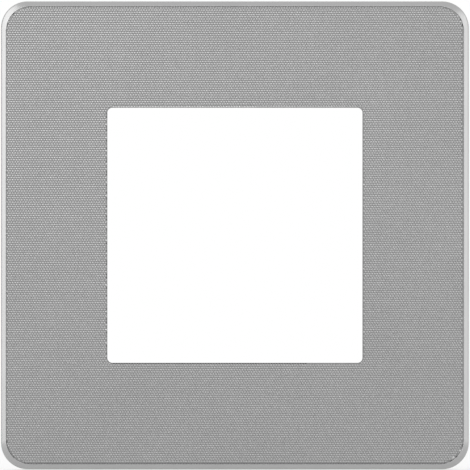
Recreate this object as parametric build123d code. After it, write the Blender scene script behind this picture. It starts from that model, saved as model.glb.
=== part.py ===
from build123d import *
import math
import os

# Square cover frame for one switch module: a drawn metal tray with a bevelled rim, folded over a
# moulded carrier that clips to the mounting bridge behind it.
# The frame stands as on its wall. The wall is the plane y = 0, the front faces -Y and +Z is up.
# The origin is the centre of the wall plane. A level is a distance in front of the wall.
# All sizes are in millimetres and degrees.

# Switch module and its window
module_size = 45.0
module_clearance = 0.1
window_corner_radius = 0.9

# Mounting bridge, which the frame covers on all four sides
bridge_size = 71.0
bridge_clearance = 0.25
bridge_cover = 6.1

# Outline
plate_depth = 9.0
plate_corner_radius = 4.8

# Drawn metal tray
sheet_thickness = 0.7
face_inset = 1.05
face_corner_radius = 4.25
bevel_drop = 0.5
skirt_draft = 1.5
skirt_edge_radius = 0.3

# Lugs, folded inwards from the edge of the skirt
lug_width = 5.0
lug_corner_distance = 13.5
lug_reach = 1.6
lug_recess = 0.15
lug_bend_radius = 0.6
lug_tip_radius = 0.8
lug_relief_width = 0.6
lug_relief_depth = 0.5

# Carrier shell
carrier_gap = 0.05
web_thickness = 1.8
wall_thickness = 1.4
mould_draft = 1.0
flange_inset = 0.15
flange_gap = 0.05
rim_edge_radius = 0.25

# Collar round the window
collar_setback = 0.2
collar_thickness = 1.3
collar_height = 2.8
collar_lead_in = 0.4

# Pockets in the back rim for the lugs and for a lever
pocket_clearance = 0.3
pad_thickness = 1.2
pad_height = 2.6
lever_width = 8.0
lever_height = 0.9
lever_reach = 1.8

# Ratchet legs above and below the window
leg_width = 6.0
leg_thickness = 1.4
leg_offset = 15.0
leg_distance = 4.5
leg_end_level = 0.5
leg_root_radius = 0.5
tooth_count = 3
tooth_pitch = 1.2
tooth_depth = 0.7
core_slot_clearance = 0.25

# Stiffening ribs between the collar and the wall
rib_thickness = 0.9
rib_height = 1.5
rib_leg_gap = 2.5

# Centring ribs, which hold the bridge in the middle
centring_rib_thickness = 1.0
centring_rib_offset = 11.0
centring_rib_end_level = 1.2
centring_lead_in = 0.8

# Sizes that follow
window_size = module_size + 2 * module_clearance
plate_size = bridge_size + 2 * bridge_cover
lug_offset = plate_size / 2 - lug_corner_distance
skirt_end_level = lug_recess + sheet_thickness
flange_top_level = skirt_end_level - flange_gap
carrier_skin = sheet_thickness + carrier_gap
web_front_level = plate_depth - carrier_skin
web_back_level = web_front_level - web_thickness
collar_inner = window_size + 2 * collar_setback
collar_outer = collar_inner + 2 * collar_thickness
collar_end_level = web_back_level - collar_height
collar_radius = window_corner_radius + collar_setback


def outline(size, radius, level):
    """A rounded square parallel to the wall."""
    return Plane.XZ.offset(level) * RectangleRounded(size, size, radius)


def skirt_inset(level, skin=0.0):
    """How far inside the outline the skirt's surface lies, skin mm under the metal's outer face."""
    draft = math.radians(skirt_draft)
    return (level - skirt_end_level) * math.tan(draft) + skin / math.cos(draft)


def tray_form(skin, end_level):
    """The tray as a solid block whose faces lie skin mm under its outer faces."""
    draft = math.tan(math.radians(skirt_draft))
    bevel_width = face_inset - skirt_inset(plate_depth - bevel_drop)
    slope = math.atan2(bevel_drop, bevel_width)
    face_level = plate_depth - skin
    face_edge = face_inset + skin * math.tan(slope / 2)
    # The bevel and the skirt are two lines in the section, and the edge between them is where they meet
    bevel_foot = face_level - face_edge * math.tan(slope)
    bevel_edge = skirt_inset(bevel_foot, skin) / (1 - math.tan(slope) * draft)
    bevel_level = bevel_foot + bevel_edge * math.tan(slope)
    end_edge = skirt_inset(end_level, skin)
    sections = [
        outline(plate_size - 2 * end_edge, plate_corner_radius - end_edge, end_level),
        outline(plate_size - 2 * bevel_edge, plate_corner_radius - bevel_edge, bevel_level),
        outline(plate_size - 2 * face_edge, face_corner_radius + face_inset - face_edge, face_level),
    ]
    return loft(sections, ruled=True), bevel_level


def side_box(near, far, low_level, high_level, width, offset):
    """A box on the +X side: near and far are distances from the centre, offset is along the side."""
    middle = ((near + far) / 2, -(low_level + high_level) / 2, offset)
    return Pos(*middle) * Box(far - near, high_level - low_level, width)


def turned(shape, quarter):
    """The shape carried from the +X side to another side of the square."""
    return Rot(0, 90 * quarter, 0) * shape


def on_each_side(shapes):
    return [turned(shape, quarter) for quarter in range(4) for shape in shapes]


def lug(offset):
    """A strip folded over the rim, round at the bend and at the corners of its tip."""
    outside = plate_size / 2
    tip = outside - sheet_thickness - carrier_gap - lug_reach
    strip = side_box(tip, outside, lug_recess, skirt_end_level, lug_width, offset)
    bend = strip.edges().filter_by(Axis.Z).group_by(Axis.X)[-1].group_by(Axis.Y)[-1]
    strip = fillet(bend, lug_bend_radius)
    corners = strip.edges().filter_by(Axis.Y).group_by(Axis.X)[0]
    return fillet(corners, lug_tip_radius)


def lug_reliefs(offset):
    """Slots in the skirt's edge on both sides of a lug, round at the end, so that it folds cleanly."""
    outside = plate_size / 2
    round_end = lug_relief_width / 2
    reliefs = []
    for side in (-1, 1):
        middle = offset + side * (lug_width + lug_relief_width) / 2
        slot = side_box(
            outside - 2 * sheet_thickness, outside + sheet_thickness,
            skirt_end_level, skirt_end_level + lug_relief_depth - round_end,
            lug_relief_width, middle,
        )
        end_level = skirt_end_level + lug_relief_depth - round_end
        end = Pos(outside, -end_level, middle) * Rot(0, 90, 0) * Cylinder(round_end, 3 * sheet_thickness)
        reliefs += [slot, end]
    return reliefs


def face_plate():
    """The drawn tray: a flat face, a bevel, a skirt and the lugs along the skirt's edge."""
    block, bevel_level = tray_form(0.0, skirt_end_level)
    rim = block.edges().filter_by(lambda edge: abs(-edge.center().Y - bevel_level) < 0.01)
    tray = fillet(rim, skirt_edge_radius)
    hollow, _ = tray_form(sheet_thickness, skirt_end_level - sheet_thickness)
    tray -= hollow
    window = outline(window_size, window_corner_radius, plate_depth + sheet_thickness)
    tray -= extrude(window, -3 * sheet_thickness)
    places = (-lug_offset, lug_offset)
    tray -= on_each_side([relief for place in places for relief in lug_reliefs(place)])
    return tray + on_each_side([lug(place) for place in places])


def carrier_shell():
    """The moulded tray under the metal: web, drafted wall, flange at the wall and collar."""
    block, _ = tray_form(carrier_skin, 0.0)
    flange_size = plate_size - 2 * flange_inset
    flange = extrude(
        outline(flange_size, plate_corner_radius - flange_inset, 0.0), flange_top_level
    )
    block += fillet(flange.edges().group_by(Axis.Y)[-1], rim_edge_radius)
    wall_inset = skirt_inset(0.0, carrier_skin) + wall_thickness
    cavity = outline(plate_size - 2 * wall_inset, plate_corner_radius - wall_inset, 0.0)
    shell = block - extrude(cavity, web_back_level, taper=mould_draft)
    collar = outline(collar_outer, collar_radius + collar_thickness, collar_end_level)
    shell += extrude(collar, web_back_level - collar_end_level, taper=-mould_draft)
    opening = outline(collar_inner, collar_radius, 0.0)
    return shell - extrude(opening, plate_depth)


def wall_inner(level):
    """Distance from the centre to the wall's inner face."""
    draft = level * math.tan(math.radians(mould_draft))
    return plate_size / 2 - skirt_inset(0.0, carrier_skin) - wall_thickness - draft


def pocket_pad(width, reach, offset):
    """A thicker stretch of wall behind a pocket, so that the back rim runs on past it."""
    outer = plate_size / 2 - carrier_skin
    far = wall_inner(pad_height) + wall_thickness / 2
    return side_box(outer - reach - pad_thickness, far, 0.0, pad_height, width, offset)


def pocket(width, reach, height, offset):
    """A pocket cut into the back rim from outside."""
    outer = plate_size / 2
    return side_box(outer - carrier_skin - reach, outer, 0.0, height, width, offset)


def stiffening_ribs():
    """Low ribs from the collar to the wall, and one to each corner."""
    low = web_back_level - rib_height
    near = collar_outer / 2 - collar_thickness / 2
    far = wall_inner(low) + wall_thickness / 2
    beside_leg = leg_width / 2 + rib_leg_gap + rib_thickness / 2
    inner_rib = leg_offset - beside_leg
    outer_rib = leg_offset + beside_leg
    straight = [
        side_box(near, far, low, web_back_level, rib_thickness, offset)
        for offset in (-outer_rib, -inner_rib, 0.0, inner_rib, outer_rib)
    ]
    corner_near = near * math.sqrt(2)
    corner_far = far * math.sqrt(2) - plate_corner_radius / 2
    diagonal = side_box(corner_near, corner_far, low, web_back_level, rib_thickness, 0.0)
    return on_each_side(straight + [Rot(0, 45, 0) * diagonal])


def centring_rib(offset):
    """A rib on the wall with a sloped lead-in for the bridge's edge."""
    near = bridge_size / 2 + bridge_clearance
    far = wall_inner(web_back_level) + wall_thickness / 2
    rib = side_box(
        near, far, centring_rib_end_level, web_back_level, centring_rib_thickness, offset
    )
    lead_in = rib.edges().filter_by(Axis.Z).group_by(Axis.X)[0].group_by(Axis.Y)[-1]
    return chamfer(lead_in, centring_lead_in)


def leg_section():
    """A leg's section, with X away from the window and Y towards the wall, from the web's back.

    Each tooth slopes out from the leg's tip and ends in a flat that catches behind the bridge.
    """
    length = web_back_level - leg_end_level
    half = leg_thickness / 2
    points = [(half, 0), (-half, 0), (-half, length), (half, length)]
    for tooth in range(tooth_count):
        catch = length - (tooth + 1) * tooth_pitch
        points += [(half + tooth_depth, catch), (half, catch)]
    return make_face(Polyline(*points, close=True))


def leg(offset):
    """A ratchet leg on the +X side, with a rounded root on the side that has no teeth."""
    middle = window_size / 2 + leg_distance + leg_thickness / 2
    root = Location((middle, -web_back_level, offset - leg_width / 2))
    body = extrude(root * leg_section(), leg_width)
    near = middle - leg_thickness / 2
    foot = side_box(
        near - leg_root_radius, near, web_back_level - leg_root_radius, web_back_level,
        leg_width, offset,
    )
    hollow = Pos(near - leg_root_radius, leg_root_radius - web_back_level, offset)
    foot -= hollow * Cylinder(leg_root_radius, leg_width)
    return body + foot


def core_slot(offset):
    """The opening in the web through which the mould forms a leg's teeth."""
    near = window_size / 2 + leg_distance + leg_thickness
    far = near + tooth_depth + core_slot_clearance
    width = leg_width + 2 * core_slot_clearance
    return side_box(near, far, web_back_level, web_front_level, width, offset)


def carrier_frame():
    """The moulded carrier with its pads, ribs, legs and pockets."""
    lug_places = (-lug_offset, lug_offset)
    lug_pocket_width = lug_width + 2 * pocket_clearance
    lug_pocket_reach = lug_reach + pocket_clearance
    pad_width = lug_pocket_width + 2 * wall_thickness
    lever_pad_width = lever_width + 2 * wall_thickness
    down = 1
    up = 3
    added = on_each_side([pocket_pad(pad_width, lug_pocket_reach, at) for at in lug_places])
    added.append(turned(pocket_pad(lever_pad_width, lever_reach, 0.0), down))
    added += stiffening_ribs()
    added += on_each_side([centring_rib(at) for at in (-centring_rib_offset, centring_rib_offset)])
    removed = on_each_side(
        [pocket(lug_pocket_width, lug_pocket_reach, skirt_end_level, at) for at in lug_places]
    )
    removed.append(turned(pocket(lever_width, lever_reach, lever_height, 0.0), down))
    for side in (down, up):
        for offset in (-leg_offset, leg_offset):
            added.append(turned(leg(offset), side))
            removed.append(turned(core_slot(offset), side))
    carrier = carrier_shell() + added - removed
    lead_in = carrier.edges().filter_by(
        lambda edge: abs(-edge.center().Y - collar_end_level) < 0.01
        and max(abs(edge.center().X), abs(edge.center().Z)) < collar_inner / 2 + 0.01
    )
    return chamfer(lead_in, collar_lead_in)


nodes = {
    "face_plate": face_plate(),
    "carrier_frame": carrier_frame(),
}

os.makedirs("parts", exist_ok=True)
for name, shape in nodes.items():
    export_step(shape, f"parts/{name}.step")
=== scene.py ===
import math

import bmesh
import bpy
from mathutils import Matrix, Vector
from mathutils.geometry import delaunay_2d_cdt

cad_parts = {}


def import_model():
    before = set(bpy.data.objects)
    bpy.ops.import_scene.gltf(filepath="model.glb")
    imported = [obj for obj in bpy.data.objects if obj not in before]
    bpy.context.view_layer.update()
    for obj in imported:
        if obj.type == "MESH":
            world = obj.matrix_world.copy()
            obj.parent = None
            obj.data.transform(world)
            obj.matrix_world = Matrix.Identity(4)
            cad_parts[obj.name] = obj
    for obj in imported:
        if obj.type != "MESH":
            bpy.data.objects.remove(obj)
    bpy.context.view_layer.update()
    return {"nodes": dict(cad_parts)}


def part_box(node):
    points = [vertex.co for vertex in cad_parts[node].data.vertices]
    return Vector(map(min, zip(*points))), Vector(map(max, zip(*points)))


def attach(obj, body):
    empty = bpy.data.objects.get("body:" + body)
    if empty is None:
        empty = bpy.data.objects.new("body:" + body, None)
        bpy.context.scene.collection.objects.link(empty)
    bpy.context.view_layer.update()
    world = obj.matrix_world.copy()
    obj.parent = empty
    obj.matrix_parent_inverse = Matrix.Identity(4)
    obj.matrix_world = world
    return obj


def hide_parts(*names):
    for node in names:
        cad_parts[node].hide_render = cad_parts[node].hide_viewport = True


# The looks of a square cover frame: an embossed metal tray over a moulded carrier.
# Lengths are in metres, in the CAD frame: the wall is y = 0, the front faces -Y and +Z is up.
mm = 0.001

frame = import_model()
tray_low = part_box("face_plate")[0]
face_y = tray_low.y
floor_level = tray_low.z

# Embossed face: round micro-dots in staggered rows, whose pitches come from the photograph
face_corner_radius = 4.25 * mm
window_corner_radius = 0.9 * mm
dot_pitch = 0.4649 * mm
row_pitch = 0.3958 * mm
dot_offset = Vector((-0.049 * mm, -0.127 * mm))
dot_height = 0.12 * mm
dot_clearance = 0.05 * mm
groove_wall = 0.01 * mm
groove_width = 0.11 * mm

# Mesh
same_place = 0.001 * mm
triangulation_tolerance = 1e-6 * mm
sharp_angle = math.radians(38)

# Metal: the dots' tops are polished, and the gaps between them are rougher and painted darker, as
# painted shade in the recesses between the dots
polish_and_shade_depth = 0.65 * dot_height
polish_and_shade_fade = 0.15 * dot_height
dot_grey = 0.34
# Painted shade: the gaps' grey is darker than the dots' to stand for the shade in the recesses
# between them
gap_shade_grey = 0.22
smooth_grey = 0.42
dot_roughness = 0.20
gap_roughness = 0.40
grain_roughness = 0.06

# Plastic: white with a touch of yellow
duller_white = (0.80, 0.80, 0.788, 1.0)
brighter_white = (0.85, 0.85, 0.8415, 1.0)

# Camera: straight on, with the outline's middle where the photograph has it, in pixels
picture_size = 470
outline_centre = Vector((234.9, 235.3))
face_scale = 0.17716 * mm
camera_distance = 2.5
camera_reach = 10.0
sensor_width = 36.0

# Light
diffuse_level = 0.85
lamp_distance = 1.5

# Floor
floor_radius = 0.55
floor_sides = 96
fade_start = 0.2 * floor_radius
fade_end = 0.9 * floor_radius
white_share_in_middle = 0.65


def put(socket, value):
    """Links a socket to another's output, or sets its value."""
    if isinstance(value, bpy.types.NodeSocket):
        socket.id_data.links.new(value, socket)
    else:
        socket.default_value = value


def add(tree, kind, inputs=(), **settings):
    """A new node with its settings and its inputs, given by name or by number."""
    node = tree.nodes.new("ShaderNode" + kind)
    for name, value in settings.items():
        setattr(node, name, value)
    for key, value in dict(inputs).items():
        put(node.inputs[key], value)
    return node


def calc(tree, operation, *values):
    """The result of one operation on two or three numbers."""
    return add(tree, "Math", enumerate(values), operation=operation).outputs[0]


def between(tree, share, first, last):
    """A number that goes from the first to the last as the share goes from 0 to 1."""
    return calc(tree, "MULTIPLY_ADD", share, last - first, first)


def soft_step(tree, value, start, end, before, after):
    """A number that changes softly while the value goes from the start to the end."""
    inputs = {"Value": value, "From Min": start, "From Max": end, "To Min": before, "To Max": after}
    return add(tree, "MapRange", inputs, interpolation_type="SMOOTHSTEP").outputs["Result"]


def noise(tree, coordinates, size, detail=2.0):
    """Noise from 0 to 1 whose features are about this size."""
    inputs = {"Vector": coordinates, "Scale": 1 / size, "Detail": detail}
    return add(tree, "TexNoise", inputs).outputs["Fac"]


def grey(value):
    """A neutral colour with its alpha."""
    return (value, value, value, 1.0)


def blend_colours(tree, share, first, last):
    """A colour that goes from the first, the node's input 6, to the last, its input 7."""
    return add(tree, "Mix", {"Factor": share, 6: first, 7: last}, data_type="RGBA").outputs[2]


def scale_colour(tree, colour, factor):
    """A colour made brighter or darker by a factor."""
    return add(tree, "VectorMath", {0: colour, "Scale": factor}, operation="SCALE").outputs[0]


def mix_shaders(tree, share, first, last):
    """A shader that goes from the first to the last as the share goes from 0 to 1."""
    return add(tree, "MixShader", {0: share, 1: first, 2: last}).outputs[0]


def soft_edges(tree, radius, samples):
    """Normals that round the edges by a radius."""
    return add(tree, "Bevel", {"Radius": radius}, samples=samples).outputs["Normal"]


def bump(tree, height, distance, normal=None):
    """Normals tilted by a height from 0 to 1 that stands for this distance."""
    inputs = {"Height": height, "Distance": distance, "Strength": 1.0}
    if normal:
        inputs["Normal"] = normal
    return add(tree, "Bump", inputs).outputs["Normal"]


def new_material(name):
    """An empty material, its tree and its object coordinates."""
    material = bpy.data.materials.new(name)
    material.use_nodes = True
    material.node_tree.nodes.clear()
    tree = material.node_tree
    coordinates = add(tree, "TexCoord").outputs["Object"]
    return material, tree, coordinates


def finish_material(tree, inputs):
    """Ends a tree with one shader that has these inputs."""
    surface = add(tree, "BsdfPrincipled", inputs).outputs[0]
    add(tree, "OutputMaterial", {"Surface": surface})


def embossed_metal():
    """Satin metal whose dots are polished and whose gaps, lower down, are rougher and painted darker
    as shade in the recesses.
    """
    material, tree, coordinates = new_material("embossed_metal")
    depth = add(tree, "SeparateXYZ", {0: coordinates}).outputs["Y"]
    polish_and_shade_edge = face_y + polish_and_shade_depth
    # Painted shade: below this depth the gaps between the dots take the darker grey, as if in shade;
    # the same mask also sets their roughness
    dot = soft_step(tree, depth, polish_and_shade_edge - polish_and_shade_fade, polish_and_shade_edge + polish_and_shade_fade, 1.0, 0.0)
    colour = blend_colours(tree, dot, grey(gap_shade_grey), grey(dot_grey))
    speckle = between(tree, noise(tree, coordinates, size=0.35 * mm), 0.92, 1.08)
    cloud = between(tree, noise(tree, coordinates, size=14 * mm), 0.96, 1.04)
    grain = noise(tree, coordinates, size=0.06 * mm, detail=3.0)
    roughness = between(tree, dot, gap_roughness, dot_roughness)
    inputs = {
        "Base Color": scale_colour(tree, colour, calc(tree, "MULTIPLY", speckle, cloud)),
        "Metallic": 1.0,
        "Roughness": calc(tree, "MULTIPLY_ADD", grain, grain_roughness, roughness),
        "Normal": bump(tree, grain, distance=0.003 * mm),
    }
    finish_material(tree, inputs)
    return material


def smooth_metal():
    """The same metal where it is smooth: the bevel, the skirt, the lugs and the inside."""
    material, tree, coordinates = new_material("smooth_metal")
    cloud = between(tree, noise(tree, coordinates, size=8 * mm), 0.95, 1.05)
    grain = noise(tree, coordinates, size=0.08 * mm, detail=3.0)
    rounded = soft_edges(tree, radius=0.2 * mm, samples=6)
    inputs = {
        "Base Color": scale_colour(tree, grey(smooth_grey)[:3], cloud),
        "Metallic": 1.0,
        "Roughness": between(tree, grain, 0.26, 0.34),
        "Normal": bump(tree, grain, distance=0.0015 * mm, normal=rounded),
    }
    finish_material(tree, inputs)
    return material


def moulded_plastic():
    """White plastic with a fine spark-eroded texture and soft edges."""
    material, tree, coordinates = new_material("moulded_plastic")
    spark = noise(tree, coordinates, size=0.12 * mm, detail=4.0)
    cloud = noise(tree, coordinates, size=10 * mm)
    rounded = soft_edges(tree, radius=0.12 * mm, samples=4)
    inputs = {
        "Base Color": blend_colours(tree, cloud, duller_white, brighter_white),
        "Roughness": between(tree, spark, 0.40, 0.52),
        "Normal": bump(tree, spark, distance=0.008 * mm, normal=rounded),
    }
    finish_material(tree, inputs)
    return material


def inside_distance(x, z, half, radius):
    """How far a point lies inside a rounded square round the middle; below zero outside it."""
    over_x = abs(x) - (half - radius)
    over_z = abs(z) - (half - radius)
    beyond = math.hypot(max(over_x, 0.0), max(over_z, 0.0))
    return radius - beyond - min(max(over_x, over_z), 0.0)


def inward(x, z, half, radius):
    """The direction straight in from a point on a rounded square's outline."""
    straight = half - radius
    core = Vector((max(-straight, min(x, straight)), max(-straight, min(z, straight))))
    return (core - Vector((x, z))).normalized()


def opening(tray):
    """The edges along the tray's opening, where its flat front was."""
    return [edge for edge in tray.edges if edge.is_boundary]


def open_tray(cad_mesh):
    """The tray without its flat front, with the opening's edges cut to about the dots' pitch."""
    tray = bmesh.new()
    tray.from_mesh(cad_mesh)
    bmesh.ops.remove_doubles(tray, verts=tray.verts, dist=same_place)
    front = [face for face in tray.faces if abs(face.calc_center_median().y - face_y) < same_place]
    bmesh.ops.delete(tray, geom=front, context="FACES")
    for edge in opening(tray):
        cuts = round(edge.calc_length() / dot_pitch) - 1
        if cuts > 0:
            bmesh.ops.subdivide_edges(tray, edges=[edge], cuts=cuts)
    return tray


def reach(point):
    """How far a point lies from the middle, sideways or upwards, whichever is more."""
    return max(abs(point.x), abs(point.y))


def half_widths(outline):
    """Half the width of the flat face and of its window, from the points of their outlines."""
    reaches = [reach(point) for point in outline]
    halfway = (min(reaches) + max(reaches)) / 2
    return max(reaches), max(distance for distance in reaches if distance < halfway)


def lattice(half, window_half):
    """The dots' peaks, and the valleys, which are as far from each of the three dots round them."""
    peaks = []
    valleys = []
    valley_rise = (row_pitch**2 - dot_pitch**2 / 4) / (2 * row_pitch)
    rows = math.ceil(half / row_pitch) + 1
    columns = math.ceil(half / dot_pitch) + 1
    for row in range(-rows, rows + 1):
        for column in range(-columns, columns + 1):
            x = dot_offset.x + (column + row % 2 / 2) * dot_pitch
            z = dot_offset.y + row * row_pitch
            beside = x + dot_pitch / 2
            peaks.append((x, z))
            valleys.append((beside, z + valley_rise))
            valleys.append((beside, z - valley_rise))

    def kept(point):
        inside = inside_distance(*point, half, face_corner_radius)
        outside = -inside_distance(*point, window_half, window_corner_radius)
        return min(inside, outside) > groove_width + dot_clearance

    return list(filter(kept, peaks)), list(filter(kept, valleys))


def groove_points(outline, half, window_half):
    """The foot of the groove's wall and the far side of its floor, beside each outline point."""
    points = []
    for point in outline:
        if reach(point) > window_half:
            across = inward(*point, half, face_corner_radius)
        else:
            across = -inward(*point, window_half, window_corner_radius)
        points += [point + across * groove_wall, point + across * groove_width]
    return points


def triangulate(points, outlines):
    """The triangles within the outlines, their corners in mm, and each corner's number in points."""
    within_outlines = 1
    in_mm = [Vector(point) / mm for point in points]
    corners, _, triangles, sources, _, _ = delaunay_2d_cdt(
        in_mm, outlines, [], within_outlines, triangulation_tolerance / mm
    )
    return triangles, corners, [numbers[0] for numbers in sources]


def place_vertices(tray, border, corners, sources, first_low):
    """A vertex for each corner: the border's own, a new one on the face, or a low one in a gap."""
    vertices = []
    for corner, source in zip(corners, sources):
        if source < len(border):
            vertices.append(border[source])
        else:
            y = face_y + dot_height if source >= first_low else face_y
            vertices.append(tray.verts.new((corner.x * mm, y, corner.y * mm)))
    return vertices


def middle_of(points):
    """The middle of some points of the face."""
    return sum(points, Vector((0.0, 0.0))) / len(points)


def emboss(tray):
    """Fills the tray's opening with the dots, inside a narrow groove, and returns the new faces."""
    border = [vertex for vertex in tray.verts if vertex.is_boundary]
    number = {vertex: i for i, vertex in enumerate(border)}
    outlines = [[number[vertex] for vertex in edge.verts] for edge in opening(tray)]
    outline = [Vector((vertex.co.x, vertex.co.z)) for vertex in border]
    half, window_half = half_widths(outline)
    peaks, valleys = lattice(half, window_half)
    low_points = valleys + groove_points(outline, half, window_half)
    triangles, corners, sources = triangulate(outline + peaks + low_points, outlines)
    first_low = len(outline) + len(peaks)
    vertices = place_vertices(tray, border, corners, sources, first_low)
    faces = []
    for triangle in triangles:
        x, z = middle_of([corners[i] for i in triangle]) * mm
        if inside_distance(x, z, window_half, window_corner_radius) < 0:
            faces.append(tray.faces.new([vertices[i] for i in triangle]))
    return faces


def is_low(edge):
    """Whether an edge runs along the bottom of the gaps between the dots."""
    return all(vertex.co.y > face_y + dot_height / 2 for vertex in edge.verts)


def is_sharp(edge):
    """Whether two faces of the tray meet at a clear angle."""
    return len(edge.link_faces) == 2 and edge.calc_face_angle(0.0) > sharp_angle


def shade(tray, dots, rim):
    """Smooth faces, with sharp edges along the gaps, the rim and the tray's own corners."""
    for face in tray.faces:
        face.smooth = True
    gaps = [edge for face in dots for edge in face.edges if is_low(edge)]
    corners = [edge for edge in tray.edges if is_sharp(edge)]
    for edge in gaps + rim + corners:
        edge.smooth = False


def embossed_tray():
    """The metal tray with its dots, in place of the CAD node's flat face."""
    smooth_slot = 1
    tray = open_tray(frame["nodes"]["face_plate"].data)
    rim = opening(tray)
    for face in tray.faces:
        face.material_index = smooth_slot
    shade(tray, emboss(tray), rim)
    mesh = bpy.data.meshes.new("embossed_tray")
    tray.to_mesh(mesh)
    tray.free()
    mesh.materials.append(embossed_metal())
    mesh.materials.append(smooth_metal())
    piece = bpy.data.objects.new("embossed_tray", mesh)
    bpy.context.scene.collection.objects.link(piece)
    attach(piece, "root")
    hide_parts("face_plate")


def carrier():
    """The carrier keeps its CAD shape."""
    node = frame["nodes"]["carrier_frame"]
    node.data.materials.clear()
    node.data.materials.append(moulded_plastic())


def seen_directly(tree):
    """1 for rays that show the background: camera, mirror and see-through rays."""
    path = add(tree, "LightPath").outputs
    seen = calc(tree, "MAXIMUM", path["Is Camera Ray"], path["Is Glossy Ray"])
    return calc(tree, "MAXIMUM", seen, path["Is Transmission Ray"])


def world():
    """White where it is seen, and a plain level where it lights the object."""
    made = bpy.data.worlds.new("studio")
    made.use_nodes = True
    tree = made.node_tree
    tree.nodes.clear()
    light = add(tree, "Background", {"Color": grey(1.0), "Strength": diffuse_level}).outputs[0]
    white = add(tree, "Background", {"Color": grey(1.0), "Strength": 1.0}).outputs[0]
    add(tree, "OutputWorld", {"Surface": mix_shaders(tree, seen_directly(tree), light, white)})
    bpy.context.scene.world = made


def floor_material():
    """Matt enough in the middle to show the frame's shadow, and plain white further out."""
    material, tree, coordinates = new_material("floor")
    tone = between(tree, noise(tree, coordinates, size=0.05), 0.90, 0.92)
    matt = add(tree, "BsdfDiffuse", {"Color": tone}).outputs[0]
    white = add(tree, "Emission", {"Color": grey(1.0), "Strength": 1.0}).outputs[0]
    from_middle = add(tree, "VectorMath", {0: coordinates}, operation="LENGTH").outputs["Value"]
    share = soft_step(tree, from_middle, fade_start, fade_end, white_share_in_middle, 1.0)
    shown = calc(tree, "MULTIPLY", seen_directly(tree), share)
    add(tree, "OutputMaterial", {"Surface": mix_shaders(tree, shown, matt, white)})
    return material


def floor():
    """A pale round floor that keeps the frame's shadow."""
    mesh = bpy.data.meshes.new("floor")
    disc = bmesh.new()
    bmesh.ops.create_circle(disc, cap_ends=True, radius=floor_radius, segments=floor_sides)
    disc.to_mesh(mesh)
    disc.free()
    mesh.materials.append(floor_material())
    made = bpy.data.objects.new("floor", mesh)
    made.location.z = floor_level
    bpy.context.scene.collection.objects.link(made)


def lamp(name, place, aim, width, height, radiance):
    """A soft box at a place, facing the point it is aimed at, and hidden from the camera."""
    away = (Vector(place) - Vector(aim)).normalized()
    data = bpy.data.lights.new(name, "AREA")
    data.shape = "RECTANGLE"
    data.size = width
    data.size_y = height
    data.energy = radiance * math.pi * width * height
    made = bpy.data.objects.new(name, data)
    made.location = place
    made.rotation_mode = "QUATERNION"
    made.rotation_quaternion = away.to_track_quat("Z", "Y")
    made.visible_camera = False
    bpy.context.scene.collection.objects.link(made)


def place_at(sideways, upwards, distance):
    """A place that many degrees to the viewer's right of the camera's axis and above it."""
    turn, rise = math.radians(sideways), math.radians(upwards)
    level = math.cos(rise)
    return Vector((math.sin(turn) * level, -math.cos(turn) * level, math.sin(rise))) * distance


def lamps():
    """Two tall boxes for the side bevels, two near ones that fade across the dots, and a low fill."""
    middle = (0.0, 0.0, 0.0)
    far_left = place_at(sideways=-58, upwards=12, distance=lamp_distance)
    far_right = place_at(sideways=61, upwards=8, distance=lamp_distance)
    lamp("left_lamp", far_left, middle, width=1.1, height=2.6, radiance=1.15)
    lamp("right_lamp", far_right, middle, width=1.1, height=1.6, radiance=0.85)

    upper_face = (0.0, face_y, 0.02)
    left_face = (-0.02, face_y, 0.0)
    lower_right = (0.03, face_y, -0.03)
    above = (-0.05, -0.36, 0.145)
    upper_left = (-0.12, -0.25, 0.08)
    near_floor = (0.08, -0.15, -0.06)
    lamp("top_lamp", above, upper_face, width=0.50, height=0.09, radiance=1.8)
    lamp("corner_lamp", upper_left, left_face, width=0.09, height=0.09, radiance=1.8)
    lamp("low_lamp", near_floor, lower_right, width=0.18, height=0.07, radiance=0.9)


def camera():
    """The photograph's view: straight on, at the face's scale, with the outline at its place."""
    data = bpy.data.cameras.new("camera")
    data.sensor_width = sensor_width
    data.lens = sensor_width * camera_distance / (picture_size * face_scale)
    data.clip_end = camera_reach
    off_centre = (outline_centre - Vector((picture_size, picture_size)) / 2) * face_scale
    made = bpy.data.objects.new("camera", data)
    made.location = (-off_centre.x, face_y - camera_distance, off_centre.y)
    made.rotation_euler = (math.pi / 2, 0.0, 0.0)
    bpy.context.scene.collection.objects.link(made)
    bpy.context.scene.camera = made


embossed_tray()
carrier()
world()
floor()
lamps()
camera()
bpy.context.scene.view_settings.view_transform = "Standard"
